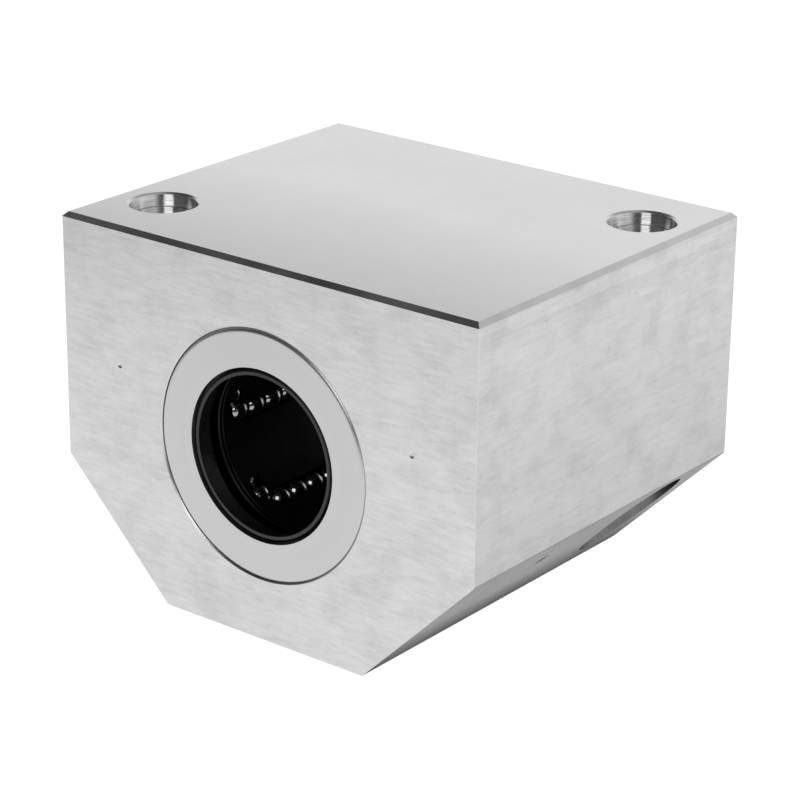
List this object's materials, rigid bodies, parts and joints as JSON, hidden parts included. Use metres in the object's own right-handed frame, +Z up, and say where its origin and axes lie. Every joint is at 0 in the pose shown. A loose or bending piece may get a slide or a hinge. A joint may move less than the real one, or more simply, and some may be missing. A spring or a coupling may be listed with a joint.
{
  "type": "linear bearing block",
  "caption": "Machined aluminium block with bevelled lower corners and a recirculating ball bushing, sealed at both ends, that slides along a round shaft.",
  "frame": {"origin": "centre of the narrow bottom face, on the surface that the block stands on", "axes": "+X across the block to the right, +Y along the shaft to the rear end, +Z up to the wide mounting face"},
  "size_m": [0.09, 0.075, 0.068],
  "materials": {
    "block": "milled and lightly brushed, mottled satin",
    "seal_case": "turned and finely brushed, satin",
    "seal_rubber": "black, smooth, slightly glossy",
    "sleeve": "ground, hardened",
    "cage": "black moulded",
    "ring_steel": "turned, dark",
    "spring_steel": "oiled spring steel",
    "balls": "polished"
  },
  "bodies": {
    "root": {"housing": "block", "outer_sleeve": "sleeve", "ball_cage": "cage", "front_seal_case": "seal_case", "front_seal_lip": "seal_rubber", "front_side_ring": "ring_steel", "front_snap_ring": "spring_steel", "rear_seal_case": "seal_case", "rear_seal_lip": "seal_rubber", "rear_side_ring": "ring_steel", "rear_snap_ring": "spring_steel", "ball_circuit_1": "balls", "ball_circuit_2": "balls", "ball_circuit_3": "balls", "ball_circuit_4": "balls", "ball_circuit_5": "balls", "ball_circuit_6": "balls"}
  },
  "joints": []
}
